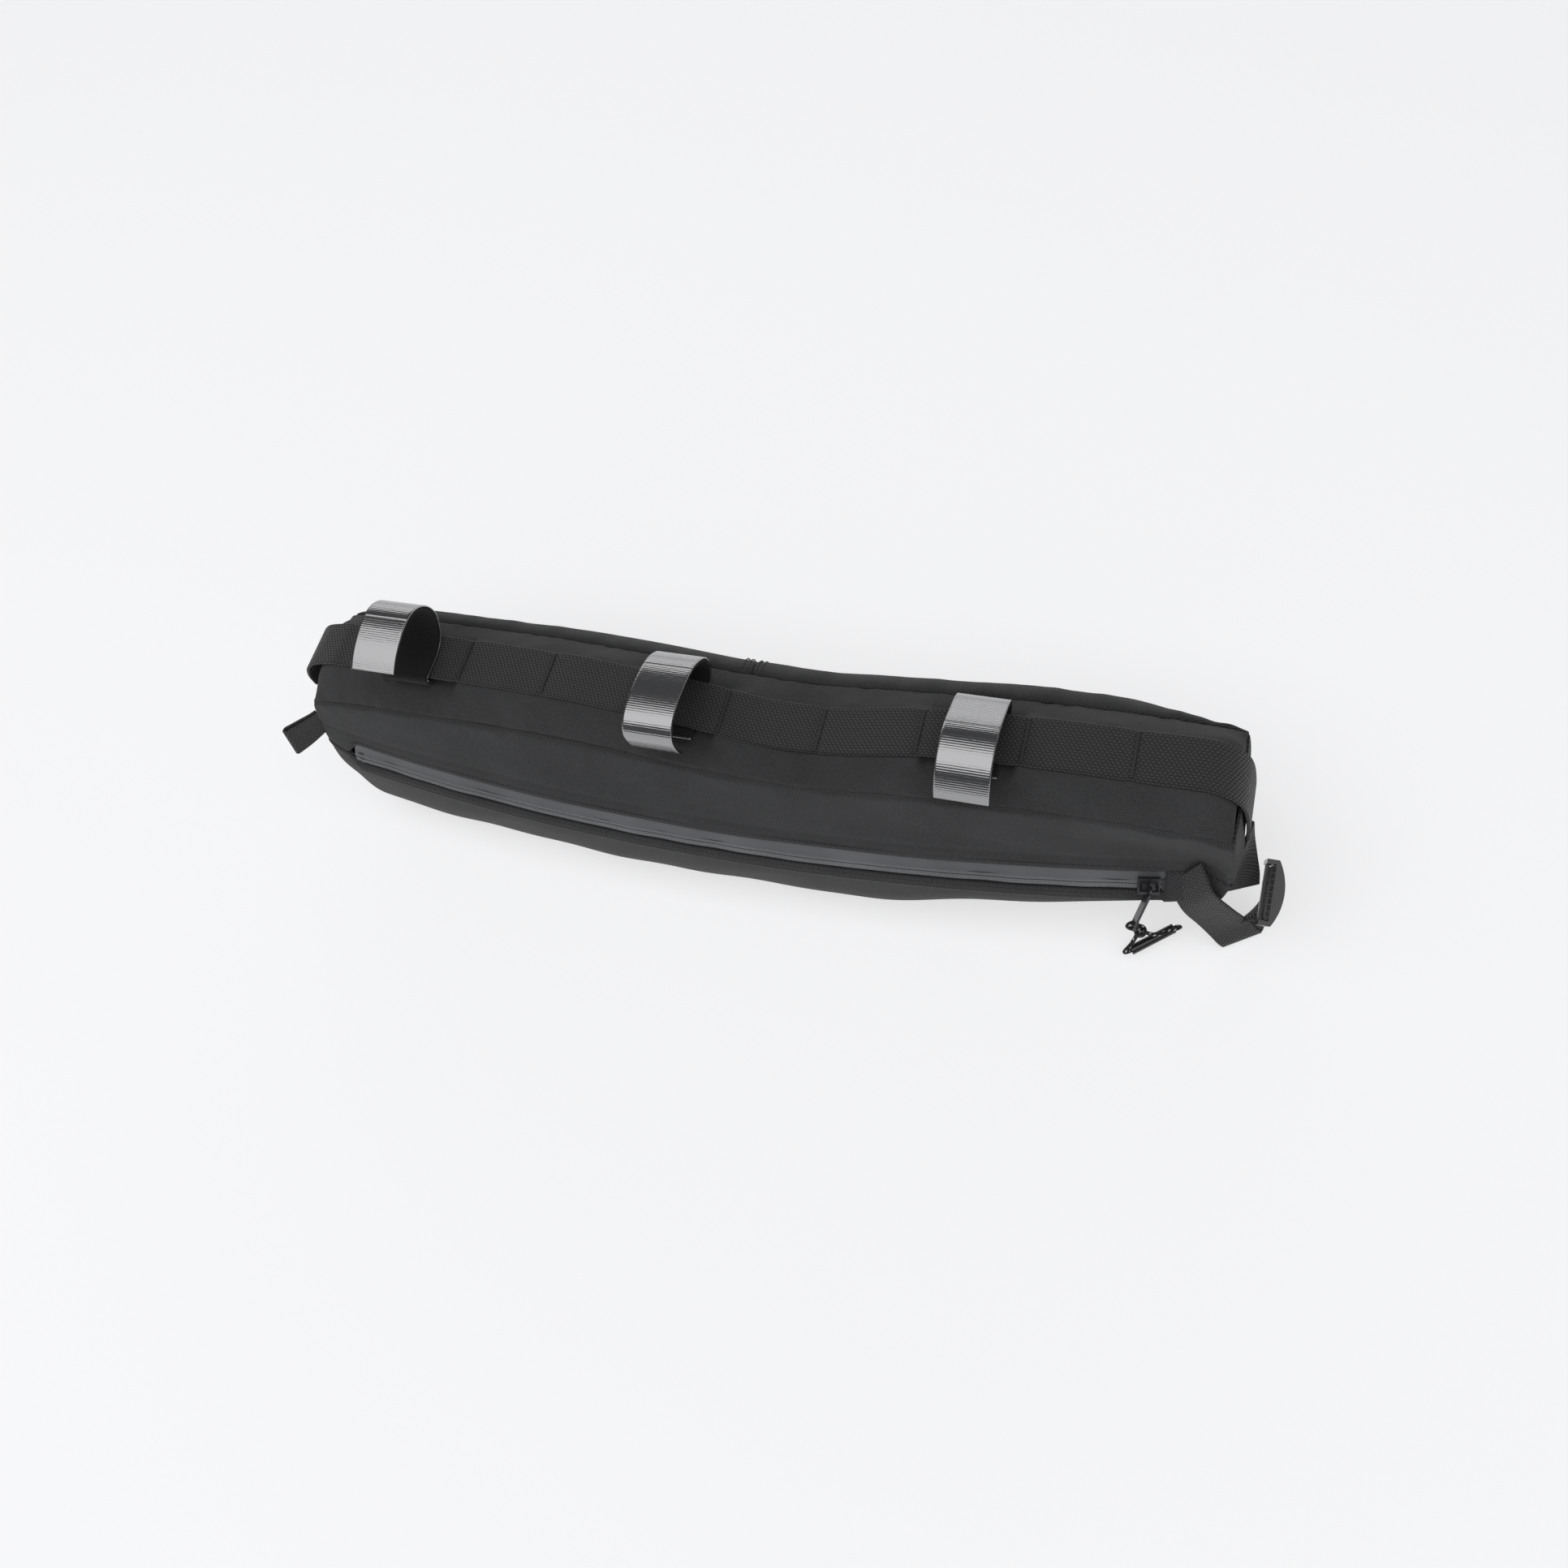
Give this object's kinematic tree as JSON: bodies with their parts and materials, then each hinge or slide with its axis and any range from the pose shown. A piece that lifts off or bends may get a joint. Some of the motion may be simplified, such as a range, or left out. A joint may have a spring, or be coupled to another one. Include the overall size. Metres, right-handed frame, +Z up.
{
  "type": "bicycle frame bag",
  "caption": "Soft black half-frame bag for a bicycle: one long curved zipper, a daisy-chain webbing along the top with hook-and-loop straps, and a webbing loop at the front lower corner.",
  "frame": {"origin": "on the plane the bag stands on, under the middle of its length", "axes": "+X towards the front (short) end, +Z up, -Y the side with the zipper"},
  "size_m": [0.523, 0.1095, 0.1469],
  "materials": {
    "pack_cloth": "matte",
    "webbing": "matte",
    "thread": "matte",
    "coated_strap": "satin",
    "pile": "matte",
    "zip_tape": "satin",
    "coil": "satin",
    "hard_plastic": "gloss",
    "slider_metal": "satin",
    "cord": "matte",
    "foam": "matte"
  },
  "bodies": {
    "bag": {"near_upper_panel": "pack_cloth", "near_lower_panel": "pack_cloth", "far_rear_panel": "pack_cloth", "far_front_panel": "pack_cloth", "top_gusset": "pack_cloth", "base_gusset": "pack_cloth", "rear_gusset": "pack_cloth", "front_gusset": "pack_cloth", "corner_patch": "pack_cloth", "base_stiffener": "foam", "near_seam_binding": "webbing", "far_seam_binding": "webbing", "daisy_chain_webbing": "webbing", "lower_loop_strap": "webbing", "upper_loop_strap": "webbing", "bar_tack_1": "thread", "bar_tack_2": "thread", "bar_tack_3": "thread", "bar_tack_4": "thread", "bar_tack_5": "thread", "bar_tack_6": "thread", "bar_tack_7": "thread", "bar_tack_8": "thread", "bar_tack_9": "thread", "zipper_tape_upper": "zip_tape", "zipper_tape_lower": "zip_tape", "zipper_coil_upper": "coil", "zipper_coil_lower": "coil", "zipper_front_stop": "coil", "zipper_rear_stop": "coil"},
    "slider": {"slider_body": "slider_metal", "slider_bridge": "slider_metal"},
    "pull_tab": {"pull_tab": "slider_metal"},
    "puller": {"puller_cord": "cord", "puller_knot": "cord", "puller_bar": "hard_plastic"},
    "rear_loop": {"rear_loop_ribbon": "webbing"},
    "tri_glide": {"tri_glide_buckle": "hard_plastic"},
    "strap_1": {"strap_1_band": "coated_strap", "strap_1_lining": "pile"},
    "strap_1_tail": {"strap_1_tail": "coated_strap", "strap_1_tail_lining": "pile"},
    "strap_2": {"strap_2_band": "coated_strap", "strap_2_lining": "pile"},
    "strap_2_tail": {"strap_2_tail": "coated_strap", "strap_2_tail_lining": "pile"},
    "strap_3": {"strap_3_band": "coated_strap", "strap_3_lining": "pile"},
    "strap_3_tail": {"strap_3_tail": "coated_strap", "strap_3_tail_lining": "pile"}
  },
  "joints": [
    {"name": "slider_travel", "type": "hinge", "parent": "bag", "child": "slider", "pos_m": [-0.027, 1.348, 0.05477], "axis": [0.0178, 0, 0.9998], "range_deg": [-16.2, 0]},
    {"name": "pull_tab_swing", "type": "hinge", "parent": "slider", "child": "pull_tab", "pos_m": [0.20625, -0.03724, 0.05299], "axis": [0.9859, 0.1665, -0.0175], "range_deg": [-100, 0]},
    {"name": "puller_swing", "type": "hinge", "parent": "pull_tab", "child": "puller", "pos_m": [0.20183, -0.04511, 0.03091], "axis": [0.9697, 0.0913, -0.2265], "range_deg": [-60, 0]},
    {"name": "rear_loop_swing", "type": "hinge", "parent": "bag", "child": "rear_loop", "pos_m": [-0.243, -0.0284, 0.0708], "axis": [0.0299, 0.0797, 0.9964], "range_deg": [-8, 8]},
    {"name": "tri_glide_slide", "type": "slide", "parent": "bag", "child": "tri_glide", "axis": [0, -0.3401, 0.9404], "range_m": [-0.002, 0.006]},
    {"name": "strap_1_slide", "type": "slide", "parent": "bag", "child": "strap_1", "axis": [1, 0, 0], "range_m": [-0.002, 0.01]},
    {"name": "strap_1_peel", "type": "hinge", "parent": "strap_1", "child": "strap_1_tail", "pos_m": [-0.1701, 0.00085, 0.1469], "axis": [1, 0, 0], "range_deg": [-95, 0]},
    {"name": "strap_2_slide", "type": "slide", "parent": "bag", "child": "strap_2", "axis": [1, 0, 0], "range_m": [-0.0055, 0.006]},
    {"name": "strap_2_peel", "type": "hinge", "parent": "strap_2", "child": "strap_2_tail", "pos_m": [-0.0235, 0.00308, 0.13302], "axis": [1, 0, 0], "range_deg": [-95, 0]},
    {"name": "strap_3_slide", "type": "slide", "parent": "bag", "child": "strap_3", "axis": [1, 0, 0], "range_m": [-0.008, 0.0035]},
    {"name": "strap_3_peel", "type": "hinge", "parent": "strap_3", "child": "strap_3_tail", "pos_m": [0.1225, -0.00439, 0.13083], "axis": [1, 0, 0], "range_deg": [-95, 0]}
  ]
}
